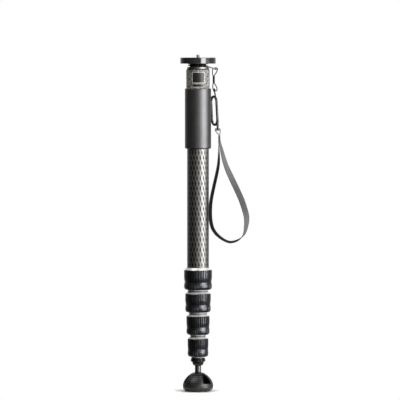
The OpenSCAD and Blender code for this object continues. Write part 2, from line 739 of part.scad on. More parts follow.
module hook_body() {
    rod = hook_rod / 2;
    top_v = hook_h - bow_r;
    neck_u = bow_r * (1 - cos(neck_bow_angle));
    neck_v = top_v + bow_r * sin(neck_bow_angle);
    color([0.12, 0.12, 0.13]) difference() {
        union() {
            in_hook(0, bow_r) cylinder(r = rod, h = top_v - bow_r);
            in_hook(bow_r, top_v) rotate([90, 0, 0])
                rotate_extrude(angle = 180) translate([bow_r, 0]) circle(rod);
            in_hook(bow_r, bow_r) rotate([90, 0, 0]) rotate([0, 0, 180])
                rotate_extrude(angle = 180) translate([bow_r, 0]) circle(rod);
            in_hook(hook_w, bow_r) cylinder(r = rod, h = hook_low_v - bow_r);
            in_hook(hook_w, hook_low_v + tang_top / 2)
                cube([2 * rod - 0.4, tang_t, tang_top + 2 * tiny], center = true);
            in_hook(hook_w, nose_v) cylinder(r = rod, h = top_v - nose_v);
            in_hook(hook_w, nose_v - nose_tang_h / 2)
                cube([rod, nose_tang_t, nose_tang_h + 2 * tiny], center = true);
            in_hook(neck_u, neck_v) rotate([0, neck_lean, 0]) {
                cylinder(d = hook_neck_d, h = hook_neck - eye_ring_r);
                translate([0, 0, hook_neck]) rotate([90, 0, 0])
                    rotate_extrude() translate([eye_ring_r, 0]) circle(d = hook_eye_rod);
            }
            at_swivel(swivel_v) cylinder(d = swivel_boss_d, h = bow_r + 3);
            at_swivel(swivel_v - swivel_plate_t - turn_gap - swivel_head_h)
                cylinder(d = swivel_neck_d, h = swivel_plate_t + turn_gap + swivel_head_h + 1);
            at_swivel(swivel_v - swivel_plate_t - turn_gap - swivel_head_h)
                cylinder(d = swivel_head_d, h = swivel_head_h);
        }
        in_hook(hook_w, gate_pin_v) rotate([90, 0, 0])
            cylinder(d = gate_pin_d + 2 * glue, h = 4 * tang_t, center = true);
    }
}

module hook_gate() {
    low = gate_pin_v - gate_low;
    top = nose_v - turn_gap;
    color([0.15, 0.15, 0.16]) difference() {
        in_hook(hook_w, low) cylinder(d = gate_d, h = top - low);
        in_hook(hook_w, low) cube([2 * gate_d, tang_t + 2 * thread_gap, 7], center = true);
        in_hook(hook_w, nose_v)
            cube([2 * gate_d, nose_tang_t + 2 * thread_gap, 2 * nose_tang_h + 1], center = true);
        in_hook(hook_w, gate_pin_v) rotate([90, 0, 0])
            cylinder(d = gate_pin_d + 2 * slide_gap, h = 2 * gate_d, center = true);
    }
}

module gate_pin() {
    color("gray") in_hook(hook_w, gate_pin_v) rotate([90, 0, 0])
        cylinder(d = gate_pin_d, h = gate_d - 0.6, center = true);
}

// Moves to the middle of the bar under the swivel, whose plane stands square to the front.
module at_bar() {
    translate(hook_foot + [0, 0, bar_v]) children();
}

module swivel_eye() {
    window = strap_w / 2 + eye_gap;
    top = swivel_v - turn_gap / 2 - bar_v;
    w = bar_w / 2;
    h = bar_h / 2;
    color([0.12, 0.12, 0.13]) at_bar() difference() {
        union() {
            rotate([90, 0, 0]) translate([0, 0, -window - tiny])
                linear_extrude(2 * window + 2 * tiny) polygon([
                    [-w + bar_bevel, -h], [w - bar_bevel, -h], [w, -h + bar_bevel], [w, h - bar_bevel],
                    [w - bar_bevel, h], [-w + bar_bevel, h], [-w, h - bar_bevel], [-w, -h + bar_bevel]
                ]);
            for (side = [-1, 1]) translate([0, side * (window + eye_arm / 2), (top - h) / 2])
                cube([eye_t, eye_arm, top + h], center = true);
            translate([0, 0, top - swivel_plate_t / 2])
                cube([eye_t, 2 * window + eye_arm, swivel_plate_t], center = true);
            translate([0, 0, top - swivel_plate_t]) cylinder(d = swivel_boss_d, h = swivel_plate_t);
        }
        cylinder(d = swivel_neck_d + 2 * slide_gap, h = 2 * top);
    }
}

module wrist_strap() {
    n = len(strap_route);
    line = [for (p = strap_route) [p[0], 0, p[1]]];
    half = strap_t / 2;
    outline = [
        [-0.5, -0.5], [-0.46, -1], [0.46, -1], [0.5, -0.5], [0.5, 0.5], [0.46, 1], [-0.46, 1], [-0.5, 0.5]
    ];
    rings = [for (i = [0 : n - 1]) let (
        t = along(line, i),
        out = [-t[2], 0, t[0]],
        twist = strap_route[i][2],
        across = cos(twist) * [0, 1, 0] + sin(twist) * out,
        face = cos(twist) * out - sin(twist) * [0, 1, 0]
    ) [for (p = outline) line[i] + p[0] * strap_w * across + p[1] * half * face]];
    color([0.3, 0.3, 0.32]) at_bar() swept(line, rings);
}

camera_stud();
top_plate();
head_bolt();
neck();
neck_washer();
head_gasket();
head_casting();
hand_grip();
tube(1);  // tube_1
tube(2);  // tube_2
tube(3);  // tube_3
tube(4);  // tube_4
tube(5);  // tube_5
guides(2);  // tube_2_guides
guides(3);  // tube_3_guides
guides(4);  // tube_4_guides
guides(5);  // tube_5_guides
lock_ferrule(1);  // lock_1_ferrule
lock_collet(1);  // lock_1_collet
lock_collar(1);  // lock_1_collar
lock_grip(1);  // lock_1_grip
lock_seal(1);  // lock_1_seal
lock_ferrule(2);  // lock_2_ferrule
lock_collet(2);  // lock_2_collet
lock_collar(2);  // lock_2_collar
lock_grip(2);  // lock_2_grip
lock_seal(2);  // lock_2_seal
lock_ferrule(3);  // lock_3_ferrule
lock_collet(3);  // lock_3_collet
lock_collar(3);  // lock_3_collar
lock_grip(3);  // lock_3_grip
lock_seal(3);  // lock_3_seal
lock_ferrule(4);  // lock_4_ferrule
lock_collet(4);  // lock_4_collet
lock_collar(4);  // lock_4_collar
lock_grip(4);  // lock_4_grip
lock_seal(4);  // lock_4_seal
end_socket();
ball_stud();
foot_cup();
foot_pad();
strap_bail();
lanyard_upper();
lanyard_crimp();
lanyard_lower();
hook_body();
hook_gate();
gate_pin();
swivel_eye();
wrist_strap();
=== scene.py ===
"""Looks of a five-section carbon monopod with a wrist strap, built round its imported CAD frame."""
import math

import bpy
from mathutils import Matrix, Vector


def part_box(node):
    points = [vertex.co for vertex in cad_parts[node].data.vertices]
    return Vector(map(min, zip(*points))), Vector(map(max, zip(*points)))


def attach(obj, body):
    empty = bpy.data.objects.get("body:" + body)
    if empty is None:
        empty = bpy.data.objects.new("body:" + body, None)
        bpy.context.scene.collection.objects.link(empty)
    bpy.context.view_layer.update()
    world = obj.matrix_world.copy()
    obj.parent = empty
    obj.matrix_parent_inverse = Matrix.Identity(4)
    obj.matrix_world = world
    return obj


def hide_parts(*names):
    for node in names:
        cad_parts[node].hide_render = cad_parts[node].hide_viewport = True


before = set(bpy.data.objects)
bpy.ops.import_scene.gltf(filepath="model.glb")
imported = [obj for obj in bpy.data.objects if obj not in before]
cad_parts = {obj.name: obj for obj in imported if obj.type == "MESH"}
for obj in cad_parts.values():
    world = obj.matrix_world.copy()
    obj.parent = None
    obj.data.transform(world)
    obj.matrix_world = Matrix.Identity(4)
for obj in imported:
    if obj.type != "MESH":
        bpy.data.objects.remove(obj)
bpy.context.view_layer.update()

# Sizes and places are in millimetres. Only the camera's place, aim and reach and the lamps are in metres.
MM = 0.001
TURN = 2 * math.pi


def extent(node):
    """The lowest and the highest corner of a CAD solid, in millimetres."""
    low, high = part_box(node)
    return low / MM, high / MM


SECTIONS = 5
LOCKS = SECTIONS - 1

CAMERA_AT = Vector((0.0034, -5.0, 0.56))
CAMERA_AIM = Vector((0.0034, 0, 0.3257))
CAMERA_LENS, CAMERA_SENSOR, CAMERA_REACH = 265, 36, 60

# Where the lanyard hangs on the bail, and the middle of the bar that the strap goes round
HANG = Vector((30.7, 0, 554.35))
BAR = Vector((33.3, -7.794, 444.95))

# Braided cord: its diameter over the strands, the share of it that they stand out, their number and their
# winding in radians along a millimetre
CORD_D = 1.8
CORD_RELIEF = 0.045
CORD_STRANDS = 5
CORD_WIND = 2.4
# Points along the cord's two eyes, from where the lanyard hangs
UPPER_EYE = [
    (-4.85, 0, -18), (-5.8, 0, -15), (-6.4, 0, -11), (-6, 0, -7.8), (-4.4, 0, -5.4), (-2.3, 0, -4.3),
    (0, 0, -4.2), (1.7, 0, -4.9), (2.4, 0, -6.6), (2.1, 0, -8), (1.3, 0, -10), (-0.2, 0, -13), (-2.2, 0, -16),
    (-3.15, 0, -18)]
LOWER_EYE = [
    (-3.15, 0.1, -30), (-0.8, 0.9, -34), (1.2, 2, -38), (1.6, 2.7, -41.2), (0.4, 2.8, -43.3),
    (-1.2, 2.3, -43.2), (-3.04, 1.29, -42.1), (-4.6, 0.4, -41), (-5.5, -0.1, -38.8), (-5.6, -0.2, -34.5),
    (-4.85, -0.1, -30)]

STRAP_W, STRAP_T = 10.0, 1.4
# Each point of the strap: sideways and height from the swivel bar, and the twist of the webbing in degrees
STRAP = [
    (2, -24, 0), (2, -16, 0), (1.9, -9, 0), (-1, -5, 0), (-3.6, -1.8, 0), (-4.2, 0.4, 0), (-3.3, 2.1, 0),
    (0, 2.3, 0), (3.3, 2.1, 0), (4.3, 0.4, 0), (4.4, -2, 0), (4, -5, 0), (3.7, -9, 0), (3.7, -16, 6),
    (4.2, -22, 14), (6, -30, 26), (9.6, -45, 40), (12.8, -56, 50), (17.7, -69, 62), (25.6, -86, 80),
    (33.6, -103, 90), (41.1, -120, 90), (46.6, -137, 84), (49.1, -148, 70), (48.9, -160, 50),
    (46.1, -174, 26), (42.1, -181, 8), (37.1, -185.5, -6), (30.1, -189, -14), (21.1, -190.5, -18),
    (12.1, -187.5, -20), (3.1, -181.5, -24), (-3.9, -174.5, -28), (-8.9, -166, -32), (-11.5, -155, -34),
    (-12.5, -141, -34), (-11.4, -122, -33), (-7.9, -103, -32), (-4.1, -86, -31), (-0.4, -69, -29),
    (1.6, -56, -24), (2.1, -44, -16), (2.1, -33, -6), (2, -24.5, 0)]

# The seam, from the swivel bar: half its width, its two ends, and the place and outlook of the two sewn faces
SEAM_HALF, SEAM_TOP, SEAM_LOW = 3.4, -10.5, -21.5
SEAM_FACES = ((1.3, -1), (4.4, 1))
# One stitch: its radius, the length that it takes up, the share of this left free at each end, and its sides
STITCH_R, STITCH_PITCH, STITCH_GAP, STITCH_SIDES = 0.24, 1.9, 0.14, 6

# The bare plates on the casting: left and right angle, lower and upper end, and width of the border
CASTING_FOOT = extent("head_casting")[0].z
CASTING_R = extent("head_casting")[1].x
PLATE_T = 0.3
BADGE = (-29.7, 33.6, CASTING_FOOT + 9.3, CASTING_FOOT + 28, 0.8)
STRIP = (-27, 28.5, CASTING_FOOT + 3.4, CASTING_FOOT + 7.4, 0.1)

# The carbon weave: about the width of a strand, and the height in which it reaches the next one's place
WEAVE_PITCH = 5.5
WEAVE_RISE = 17.3

# Flutes of a lock, half the width of one, the rubber's thickness on its collar and the height of its waist
FLUTES = 32
FLUTE_HALF = 0.95
GRIP_T = 3
GRIP_WAIST = 13

# Dome of the foot: its radius, where its curve starts, the height of the curve and its power
FOOT_R = extent("foot_pad")[1].x
FOOT_EDGE, FOOT_H, FOOT_POWER = 7.5, 26, 0.65

# Brightness of the studio by the angle in degrees from the camera's side, plus to the right
STUDIO = (
    (-180, 0.9), (-150, 0.65), (-120, 0.2), (-95, 0.015), (-70, 0.01), (10, 0.01), (60, 0.02), (95, 0.02),
    (120, 0.2), (150, 0.6), (180, 0.9))
# Where the studio's brightness gives way to an even sky, as the height of a direction of length 1
SKY_FROM, SKY_TO, SKY_TONE = 0.45, 0.9, (0.1, 0.1, 0.1)

# The floor: its radius, level and sides, and the distances between which it fades to white
FLOOR_R, FLOOR_Z, FLOOR_SIDES = 80, -0.1, 96
FADE_FROM, FADE_TO = 28, 78


# Camera

def facing(place, target):
    """The rotation that turns a camera or a lamp from its place towards its target."""
    return (target - place).to_track_quat("-Z", "Y").to_euler()


def add_camera():
    data = bpy.data.cameras.new("camera")
    data.sensor_width = CAMERA_SENSOR
    data.lens = CAMERA_LENS
    data.clip_end = CAMERA_REACH
    camera = bpy.data.objects.new("camera", data)
    bpy.context.scene.collection.objects.link(camera)
    camera.location = CAMERA_AT
    camera.rotation_euler = facing(CAMERA_AT, CAMERA_AIM)
    bpy.context.scene.camera = camera


# Lines and meshes

def angles(sides):
    """Even angles round a circle."""
    return [TURN * j / sides for j in range(sides)]


def spline(points, steps):
    """Points on a smooth line through all of the given ones."""
    through = [Vector(p) for p in points]
    ends = [2 * through[0] - through[1]] + through + [2 * through[-1] - through[-2]]
    out = []
    for a, b, c, d in zip(ends, ends[1:], ends[2:], ends[3:]):
        for k in range(steps):
            t = k / steps
            out.append(0.5 * (2 * b + (c - a) * t + (2 * a - 5 * b + 4 * c - d) * t * t
                              + (3 * b - a - 3 * c + d) * t * t * t))
    out.append(through[-1])
    return out


def distances(points):
    """How far along the line each of its points is."""
    out = [0.0]
    for a, b in zip(points, points[1:]):
        out.append(out[-1] + (b - a).length)
    return out


def even(points, step):
    """The same line with its points about one step apart."""
    total = distances(points)
    count = max(2, round(total[-1] / step))
    out = []
    i = 0
    for k in range(count + 1):
        s = total[-1] * k / count
        while i < len(total) - 2 and total[i + 1] < s:
            i += 1
        span = total[i + 1] - total[i] or 1
        out.append(points[i].lerp(points[i + 1], (s - total[i]) / span))
    return out


def tangents(points):
    """The direction of the line at each of its points."""
    n = len(points)
    return [(points[min(i + 1, n - 1)] - points[max(i - 1, 0)]).normalized() for i in range(n)]


def mesh_object(name, verts, faces, uvs=None, smooth=True):
    """A mesh object from points in millimetres, with one pair of texture coordinates for each face corner."""
    mesh = bpy.data.meshes.new(name)
    mesh.from_pydata([tuple(v * MM) for v in verts], [], faces)
    if uvs:
        layer = mesh.uv_layers.new(name="UVMap")
        for loop, uv in zip(layer.data, uvs):
            loop.uv = uv
    mesh.polygons.foreach_set("use_smooth", [smooth] * len(mesh.polygons))
    mesh.update()
    obj = bpy.data.objects.new(name, mesh)
    bpy.context.scene.collection.objects.link(obj)
    return obj


def tube_faces(rings, n, first=0):
    """Faces over a number of rings with n points each, and over the two ends."""
    faces = []
    for low in range(first, first + (rings - 1) * n, n):
        for j in range(n):
            k = (j + 1) % n
            faces.append((low + j, low + k, low + n + k, low + n + j))
    last = first + (rings - 1) * n
    faces.append(tuple(reversed(range(first, first + n))))
    faces.append(tuple(range(last, last + n)))
    return faces


def skin(name, rings, along):
    """A closed tube over rings of points. Its texture runs round from 0 to 1, and along in millimetres."""
    n = len(rings[0])
    verts = [p for ring in rings for p in ring]
    uvs = []
    for low, high in zip(along, along[1:]):
        for j in range(n):
            left, right = j / n, (j + 1) / n
            uvs += [(left, low), (right, low), (right, high), (left, high)]
    uvs += [(0.5, along[0])] * n + [(0.5, along[-1])] * n
    return mesh_object(name, verts, tube_faces(len(rings), n), uvs)


def revolve(name, profile, sides, centre=Vector((0, 0, 0)), change=None):
    """A turned solid from pairs of radius and height. The change, if any, is added to each radius."""
    rings = []
    for r, z in profile:
        ring = []
        for a in angles(sides):
            q = r + (change(a, z, r) if change else 0)
            ring.append(centre + Vector((q * math.cos(a), q * math.sin(a), z)))
        rings.append(ring)
    return skin(name, rings, [z for r, z in profile])


# Shapes of the pieces

def braided_cord(name, route):
    """A round braided cord on a route that hangs from the bail, and the line that it follows."""
    steps, gap, sides = 12, 0.4, 20
    path = even([HANG + p for p in spline(route, steps)], gap)
    along = distances(path)
    rings = []
    for p, t, s in zip(path, tangents(path), along):
        side = (Vector((0, 1, 0)) - t * t.y).normalized()
        up = t.cross(side)
        ring = []
        for a in angles(sides):
            turn, wind = CORD_STRANDS * a, CORD_WIND * s
            weave = math.cos(turn + wind) * math.cos(turn - wind)
            r = CORD_D / 2 * (1 - CORD_RELIEF + CORD_RELIEF * weave)
            ring.append(p + side * (r * math.cos(a)) + up * (r * math.sin(a)))
        rings.append(ring)
    return skin(name, rings, along), path


def strap_frames():
    """Places along the strap, each with the directions across the webbing and out of its face."""
    steps, gap = 14, 1.0
    # The twist rides along as a third coordinate, made so small that it adds nothing to the length.
    small = 1e-6
    line = [Vector((BAR.x + p.x, BAR.z + p.y, p.z * small)) for p in spline(STRAP, steps)]
    line = even(line, gap)
    path = [Vector((p.x, BAR.y, p.y)) for p in line]
    y = Vector((0, 1, 0))
    frames = []
    for p, q, t in zip(path, line, tangents(path)):
        w = math.radians(q.z / small)
        out = Vector((-t.z, 0, t.x))
        across = y * math.cos(w) + out * math.sin(w)
        face = out * math.cos(w) - y * math.sin(w)
        frames.append((p, across, face))
    return frames


def webbing():
    """The strap's webbing, flat with rounded edges, and the line that it follows."""
    sides, edge_power, face_power = 28, 0.35, 0.45
    frames = strap_frames()
    path = [p for p, across, face in frames]
    profile = []
    for a in angles(sides):
        c, s = math.cos(a), math.sin(a)
        x = math.copysign(abs(c) ** edge_power, c) * STRAP_W / 2
        z = math.copysign(abs(s) ** face_power, s) * STRAP_T / 2
        profile.append((x, z))
    rings = [[p + across * x + face * z for x, z in profile] for p, across, face in frames]
    return skin("strap_webbing", rings, distances(path)), path


def add_stitch(verts, faces, a, b, up):
    """Adds one stitch from a to b with rounded ends."""
    t = (b - a).normalized()
    side = t.cross(up).normalized()
    # How far past its end the stitch has which share of its radius
    rounding = ((0.9, 0.35), (0.4, 0.85), (0.0, 1.0))
    stations = [(a - t * (far * STITCH_R), share) for far, share in rounding]
    stations += [(b + t * (far * STITCH_R), share) for far, share in reversed(rounding)]
    faces += tube_faces(len(stations), STITCH_SIDES, len(verts))
    for centre, share in stations:
        r = STITCH_R * share
        for w in angles(STITCH_SIDES):
            verts.append(centre + side * (r * math.cos(w)) + up * (r * math.sin(w)))


def stitches():
    """Sewn threads that hold the strap's two ends to its own loop, in a box with a cross."""
    verts, faces = [], []
    corners = [(-SEAM_HALF, SEAM_TOP), (SEAM_HALF, SEAM_TOP), (SEAM_HALF, SEAM_LOW), (-SEAM_HALF, SEAM_LOW)]
    runs = list(zip(corners, corners[1:] + corners[:1]))
    runs += [(corners[0], corners[2]), (corners[1], corners[3])]
    for x, outlook in SEAM_FACES:
        for (y0, z0), (y1, z1) in runs:
            a, b = BAR + Vector((x, y0, z0)), BAR + Vector((x, y1, z1))
            count = max(2, round((b - a).length / STITCH_PITCH))
            for i in range(count):
                p = a.lerp(b, (i + STITCH_GAP) / count)
                q = a.lerp(b, (i + 1 - STITCH_GAP) / count)
                add_stitch(verts, faces, p, q, Vector((outlook, 0, 0)))
    return mesh_object("strap_stitches", verts, faces)


def whipped_sleeve():
    """The sleeve between the two cord eyes: a barrel wound with fine cord."""
    low, high = extent("lanyard_crimp")
    middle, height = (low + high) / 2, high.z - low.z
    steps, sides = 120, 28
    mean, relief, pitch, rounding = 1.82, 0.08, 0.8, 0.5
    profile = []
    for i in range(steps + 1):
        z = height * i / steps
        edge = min(z, height - z)
        r = mean + relief * math.cos(TURN * z / pitch)
        if edge < rounding:
            r -= rounding * (1 - math.sqrt(max(0, 1 - (1 - edge / rounding) ** 2)))
        profile.append((r, z))
    return revolve("lanyard_sleeve", profile, sides, Vector((middle.x, middle.y, low.z)))


def threaded_stud():
    """The camera screw: a collar down in the plate and a cut thread above it."""
    pitch, major, depth, steepness = 1.27, 6.35 / 2, 0.62, 1.3
    face, top = extent("top_plate")[1].z, extent("camera_stud")[1].z
    foot = face - 4.8
    # Radius of the collar, of the narrow start of the screw, of its bevel, and of the tip and its middle
    collar, narrow, bevel, tip, core = 4, major - 0.3, major - 0.35, 2.3, 0.6
    sink, start, bevel_h = 0.02, 0.12, 0.3
    slice_h, slices, sides = 0.1, 41, 40
    # The thread is cut above this height, where the screw is wider than this radius.
    cut_above, cut_beyond = face + 0.1, 2.4

    def cut(a, z, r):
        if z < cut_above or r < cut_beyond:
            return 0
        turn = ((z - face) / pitch - a / TURN) % 1
        return -depth * min(1, abs(2 * turn - 1) * steepness)

    profile = [(collar, foot), (collar, face - sink), (narrow, face - sink), (major, face + start)]
    profile += [(major, face + start + slice_h * i) for i in range(1, slices + 1)]
    profile += [(bevel, top - bevel_h), (tip, top), (core, top)]
    return revolve("camera_screw", profile, sides, change=cut)


def curved_plate(name, left, right, base, top, border):
    """A thin plate on the casting between two angles and two heights, with a raised border."""
    buried, rim, field_drop, field_slope = -0.2, 0.1, 0.15, 0.2
    middle_steps, inside = 30, border + 0.5
    left, right = math.radians(left), math.radians(right)

    def lift(a, z):
        edge = min((a - left) * CASTING_R, (right - a) * CASTING_R, z - base, top - z)
        if edge < rim:
            return buried
        if edge < border:
            return PLATE_T
        return PLATE_T - field_drop * min(1, (edge - border) / field_slope)

    # How far in from the edge the mesh has a line, to shape the border
    fine = sorted([0.0, 0.12, 0.25, border - 0.02, border + 0.22])
    middle = right - left - 2 * inside / CASTING_R
    columns = [left + f / CASTING_R for f in fine]
    columns += [left + inside / CASTING_R + middle * i / middle_steps for i in range(middle_steps + 1)]
    columns += [right - f / CASTING_R for f in reversed(fine)]
    rows = [base + f for f in fine] + [base + inside, top - inside] + [top - f for f in reversed(fine)]
    n = len(columns)
    verts, faces = [], []
    for z in rows:
        for a in columns:
            q = CASTING_R + lift(a, z)
            verts.append(Vector((q * math.sin(a), -q * math.cos(a), z)))
    for low in range(0, (len(rows) - 1) * n, n):
        for j in range(low, low + n - 1):
            faces.append((j, j + 1, j + n + 1, j + n))
    return mesh_object(name, verts, faces)


# Node trees

class Nodes:
    """Short ways to add nodes to the tree of a material or a world."""

    def __init__(self, owner):
        owner.use_nodes = True
        self.tree = owner.node_tree
        self.tree.nodes.clear()

    def put(self, value, socket):
        """Links an output to an input, or sets the input to a constant."""
        if isinstance(value, bpy.types.NodeSocket):
            self.tree.links.new(value, socket)
        elif isinstance(value, tuple) and len(value) == 3 and socket.type == "RGBA":
            socket.default_value = (*value, 1)
        else:
            socket.default_value = value

    def node(self, kind, **inputs):
        n = self.tree.nodes.new("ShaderNode" + kind)
        for key, value in inputs.items():
            self.put(value, n.inputs[key])
        return n

    def math(self, operation, *values):
        n = self.node("Math")
        n.operation = operation
        for value, socket in zip(values, n.inputs):
            self.put(value, socket)
        return n.outputs[0]

    def weigh(self, a, part_a, b, part_b):
        """The sum of two values, each times its part."""
        return self.math("ADD", self.math("MULTIPLY", a, part_a), self.math("MULTIPLY", b, part_b))

    def point(self):
        return self.node("TexCoord").outputs["Object"]

    def axes(self, vector=None):
        """The three coordinates of a vector, or else of the place on the object."""
        return self.node("SeparateXYZ", Vector=vector or self.point()).outputs

    def around(self):
        """The angle round the upright axis in turns, and the height."""
        x, y, z = self.axes()
        return self.math("MULTIPLY", self.math("ARCTAN2", y, x), 1 / TURN), z

    def radius(self):
        """The distance from the upright axis, and the height."""
        x, y, z = self.axes()
        return self.math("SQRT", self.weigh(x, x, y, y)), z

    def texture(self):
        """The two coordinates of the piece's own texture: round it and along it."""
        return self.axes(self.node("UVMap").outputs[0])[:2]

    def noise(self, scale, detail=3.0, rough=0.5, vector=None):
        n = self.node("TexNoise", Vector=vector or self.point(), Scale=scale, Detail=detail, Roughness=rough)
        return n.outputs["Fac"]

    def stretched(self, x, y, z, detail=4.0):
        """Noise with its own scale along each axis."""
        n = self.node("Mapping", Vector=self.point())
        n.inputs["Scale"].default_value = (x, y, z)
        return self.noise(1.0, detail, rough=0.6, vector=n.outputs[0])

    def cells(self, scale):
        n = self.node("TexVoronoi", Vector=self.point(), Scale=scale)
        n.feature = "SMOOTH_F1"
        return n.outputs["Distance"]

    def ramp(self, factor, *stops):
        """Colours, or grey tones, by place from 0 to 1."""
        n = self.node("ValToRGB", Fac=factor)
        elements = n.color_ramp.elements
        while len(elements) < len(stops):
            elements.new(0.5)
        for element, (position, colour) in zip(elements, stops):
            element.position = position
            element.color = (*colour, 1) if isinstance(colour, tuple) else (colour, colour, colour, 1)
        return n.outputs["Color"]

    def span(self, factor, low, high, start=0.0, end=1.0):
        """A value that goes from low at the start to high at the end."""
        n = self.node("MapRange", Value=factor)
        for key, value in (("From Min", start), ("From Max", end), ("To Min", low), ("To Max", high)):
            n.inputs[key].default_value = value
        return n.outputs[0]

    def bump(self, height, strength, depth):
        """A bumped normal, with its depth in millimetres."""
        return self.node("Bump", Height=height, Strength=strength, Distance=depth * MM).outputs[0]

    def mix(self, factor, a, b):
        n = self.node("Mix")
        n.data_type = "RGBA"
        for value, place in ((factor, 0), (a, 6), (b, 7)):
            self.put(value, n.inputs[place])
        return n.outputs[2]


class Finish(Nodes):
    """A node material round one Principled shader."""

    def __init__(self, name):
        self.material = bpy.data.materials.new(name)
        super().__init__(self.material)
        self.out = self.node("OutputMaterial")
        self.shader = self.node("BsdfPrincipled")
        self.put(self.shader.outputs[0], self.out.inputs["Surface"])

    def set(self, **values):
        for key, value in values.items():
            self.put(value, self.shader.inputs[key.replace("_", " ")])


# Finishes

def carbon_weave(name, strands):
    """Steep crossing carbon strands, one family painted paler than the other as a painted reflection, with
    small dark gaps of resin between them.
    """
    gap_from, gap_to = 0.14, 0.24
    f = Finish(name)
    turn, z = f.around()
    u = f.math("MULTIPLY", turn, float(strands))
    v = f.math("MULTIPLY", z, 1 / (WEAVE_RISE * MM))
    rise = f.math("PINGPONG", f.math("ADD", u, v), 0.5)
    fall = f.math("PINGPONG", f.math("SUBTRACT", u, v), 0.5)
    gap = f.math("MINIMUM", rise, fall)
    fibres = f.stretched(5200, 5200, 160)
    worn = f.noise(30, detail=4.0)
    # Painted reflection: the paler strands are a lit copy of the darker ones, standing in for the brighter
    # reflection of one strand family.
    over = f.ramp(fibres, (0.3, (0.285, 0.284, 0.282)), (0.7, (0.37, 0.369, 0.367)))
    under = f.ramp(fibres, (0.3, (0.21, 0.208, 0.205)), (0.7, (0.28, 0.278, 0.275)))
    resin = f.span(gap, 0, 1, gap_from, gap_to)
    strand = f.mix(f.span(rise, 0, 1, gap_from, gap_to), over, under)
    f.set(Base_Color=f.mix(resin, strand, (0.06, 0.05, 0.043)),
          Roughness=f.math("ADD", f.span(resin, 0.47, 0.36), f.span(worn, -0.03, 0.03)),
          Metallic=0.97, Specular_IOR_Level=0.5,
          Normal=f.bump(gap, strength=0.15, depth=0.2))
    return f.material


def hammertone():
    """Grey paint that has drawn together in pale cells with dark seams."""
    f = Finish("hammertone_paint")
    cell = f.cells(590)
    speck = f.noise(620, detail=3.0, rough=0.7)
    tone = f.weigh(cell, 0.55, speck, 0.6)
    pale, middle, dark = (0.54, 0.525, 0.505), (0.27, 0.258, 0.245), (0.045, 0.041, 0.038)
    f.set(Base_Color=f.ramp(tone, (0.39, pale), (0.52, middle), (0.65, dark)),
          Metallic=0.1, Roughness=f.span(speck, 0.45, 0.6),
          Normal=f.bump(tone, strength=0.8, depth=1.2))
    return f.material


def foam():
    """Grip foam with a soft sheen and fine pores."""
    f = Finish("grip_foam")
    pores = f.noise(1500, detail=4.0, rough=0.65)
    cloud = f.noise(45, detail=3.0)
    f.set(Base_Color=f.ramp(cloud, (0.3, (0.122, 0.121, 0.124)), (0.7, (0.157, 0.156, 0.16))),
          Metallic=0.98, Roughness=f.span(pores, 0.41, 0.52), Specular_IOR_Level=0.5,
          Normal=f.bump(pores, strength=0.06, depth=0.2))
    return f.material


def moulded(f, clean, dusty):
    """The grain of moulded rubber, and its colour from clean to dusty."""
    grain = f.noise(2600, detail=3.0, rough=0.6)
    dust = f.noise(60, detail=5.0, rough=0.6)
    return grain, f.ramp(dust, (0.35, clean), (0.75, dusty))


def rubber(name, tone, rough, shine):
    f = Finish(name)
    grain, worn = moulded(f, (tone, tone, tone * 1.02), (tone * 2.0, tone * 1.95, tone * 1.9))
    f.set(Base_Color=worn, Roughness=f.span(grain, rough * 0.85, rough * 1.2, 0.3, 0.7),
          Specular_IOR_Level=shine,
          Normal=f.bump(grain, strength=0.15, depth=0.1))
    return f.material


def foot_rubber():
    """Moulded rubber of the foot's dome, painted near black and with its shine lowered down in its pockets,
    as painted shade.
    """
    shallow, deepest = 0.5, 3
    f = Finish("foot_rubber")
    radius, z = f.radius()
    up = f.math("DIVIDE", f.math("SUBTRACT", z, FOOT_EDGE * MM), FOOT_H * MM)
    dome = f.math("POWER", f.math("SUBTRACT", 1.0, f.math("MULTIPLY", up, up)), FOOT_POWER)
    under = f.math("SUBTRACT", f.math("MULTIPLY", dome, FOOT_R * MM), radius)
    # Painted shade: the deeper a place lies under the dome's curve, the darker and less shiny its rubber is
    # painted.
    pocket = f.span(under, 0, 1, shallow * MM, deepest * MM)
    pocket_shade = f.math("MULTIPLY", pocket, f.math("GREATER_THAN", up, 0.0))
    grain, worn = moulded(f, (0.014, 0.014, 0.0148), (0.029, 0.0286, 0.0282))
    f.set(Base_Color=f.mix(pocket_shade, worn, (0.001, 0.001, 0.001)),
          Specular_IOR_Level=f.span(pocket_shade, 0.55, 0.1), Roughness=f.span(grain, 0.32, 0.46, 0.3, 0.7),
          Normal=f.bump(grain, strength=0.15, depth=0.1))
    return f.material


def fluted_rubber(name, radius, waist):
    """Moulded rubber whose flutes, above the waist, have rounded lips and are painted near black and dull
    between the ridges, as painted shade.
    """
    below, above = 0.8, 0.4
    f = Finish(name)
    turn, z = f.around()
    half = FLUTE_HALF * FLUTES / (TURN * radius)
    flute = f.math("PINGPONG", f.math("MULTIPLY", turn, float(FLUTES)), 0.5)
    plain = f.span(z, 1, 0, (waist - below) * MM, (waist + above) * MM)
    ridge_vs_shaded_flute = f.math("MAXIMUM", f.span(flute, 0, 1, half * 0.7, half * 1.2), plain)
    grain, worn = moulded(f, (0.005, 0.005, 0.0055), (0.011, 0.011, 0.012))
    # Painted shade: the flutes are painted near black and less shiny than the ridges.
    f.set(Base_Color=f.mix(ridge_vs_shaded_flute, (0.001, 0.001, 0.001), worn),
          Specular_IOR_Level=f.span(ridge_vs_shaded_flute, 0.2, 0.95), Specular_Tint=(0.9, 0.92, 1.0),
          Roughness=f.span(grain, 0.27, 0.35, 0.3, 0.7),
          Normal=f.bump(f.math("ADD", ridge_vs_shaded_flute, f.math("MULTIPLY", grain, 0.02)), strength=0.5, depth=0.4))
    return f.material


def tool_lines(f, scale):
    """Fine lines that turning leaves round the axis."""
    radius, z = f.radius()
    section = f.node("CombineXYZ", X=radius, Y=z, Z=0.0).outputs[0]
    return f.noise(scale, detail=2.0, vector=section)


